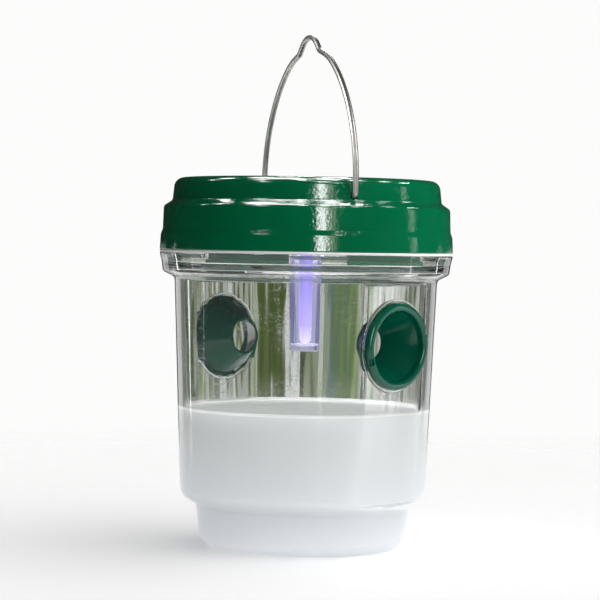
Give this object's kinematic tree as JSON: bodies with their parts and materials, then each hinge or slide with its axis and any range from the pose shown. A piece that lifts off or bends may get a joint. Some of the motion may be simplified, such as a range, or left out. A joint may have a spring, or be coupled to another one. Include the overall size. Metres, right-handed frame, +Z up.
{
  "type": "wasp trap",
  "caption": "Hanging wasp trap: a clear jar of bait with green entry funnels, a green lid with a solar cell and a lit tube, and a wire handle.",
  "frame": {"origin": "middle of the jar's foot, on the surface that it stands on", "axes": "+Z up along the jar's axis; +X out through the middle of the front entry funnel"},
  "size_m": [0.12, 0.12, 0.2088],
  "materials": {
    "clear_jar": "gloss",
    "bait": "gloss",
    "funnel_green": "gloss",
    "silicone": "satin",
    "lid_green": "gloss",
    "plate_green": "satin",
    "solar_cell": "satin",
    "clear_cover": "gloss",
    "clear_tube": "gloss",
    "led_violet": "gloss",
    "led_glow": "satin",
    "wire_red": "satin",
    "wire_black": "satin",
    "board": "satin",
    "black_plastic": "satin",
    "battery_wrap": "satin",
    "contact_nickel": "satin",
    "screw_steel": "satin",
    "wire_steel": "polished"
  },
  "bodies": {
    "jar": {"jar": "clear_jar", "bait_liquid": "bait"},
    "entry_funnel_front": {"entry_funnel_front": "funnel_green"},
    "entry_funnel_rear": {"entry_funnel_rear": "funnel_green"},
    "lid_seal": {"lid_seal": "silicone"},
    "lid": {"lid_shell": "lid_green", "solar_panel": "solar_cell", "panel_cover": "clear_cover", "base_plate": "plate_green", "plate_screw_1": "screw_steel", "plate_screw_2": "screw_steel", "plate_screw_3": "screw_steel", "light_tube": "clear_tube", "tube_gasket": "silicone", "tube_retainer": "plate_green", "led_lamp": "led_violet", "led_sleeve": "led_glow", "led_wire_positive": "wire_red", "led_wire_negative": "wire_black", "circuit_board": "board", "driver_chip": "black_plastic", "boost_coil": "black_plastic", "board_screw_1": "screw_steel", "board_screw_2": "screw_steel", "switch_housing": "black_plastic", "panel_wire_positive": "wire_red", "panel_wire_negative": "wire_black", "battery_cell": "battery_wrap", "battery_contact_positive": "contact_nickel", "battery_contact_negative": "contact_nickel", "battery_spring": "contact_nickel", "battery_wire_positive": "wire_red", "battery_wire_negative": "wire_black"},
    "switch_slider": {"switch_slider": "black_plastic"},
    "battery_door": {"battery_door": "plate_green", "door_screw": "screw_steel"},
    "bail_handle": {"bail_handle": "wire_steel"}
  },
  "joints": [
    {"name": "front_funnel_twist", "type": "hinge", "parent": "jar", "child": "entry_funnel_front", "pos_m": [0.0499, 0, 0.0835], "axis": [0.9991, 0, -0.0419], "range_deg": [0, 70]},
    {"name": "rear_funnel_twist", "type": "hinge", "parent": "jar", "child": "entry_funnel_rear", "pos_m": [-0.0499, 0, 0.0835], "axis": [-0.9991, 0, -0.0419], "range_deg": [0, 70]},
    {"name": "lid_lift", "type": "slide", "parent": "jar", "child": "lid_seal", "axis": [0, 0, 1], "range_m": [0, 0.06]},
    {"name": "lid_turn", "type": "hinge", "parent": "lid_seal", "child": "lid", "pos_m": [0, 0, 0.12], "axis": [0, 0, 1], "range_deg": [-30, 0]},
    {"name": "bail_swing", "type": "hinge", "parent": "lid", "child": "bail_handle", "pos_m": [0, 0, 0.1422], "axis": [0.9011, -0.4337, 0], "range_deg": [-90, 90]},
    {"name": "switch_slide", "type": "slide", "parent": "lid", "child": "switch_slider", "axis": [1, 0, 0], "range_m": [0, 0.003]},
    {"name": "battery_door_release", "type": "slide", "parent": "lid", "child": "battery_door", "axis": [0, 0, -1], "range_m": [0, 0.015]}
  ]
}
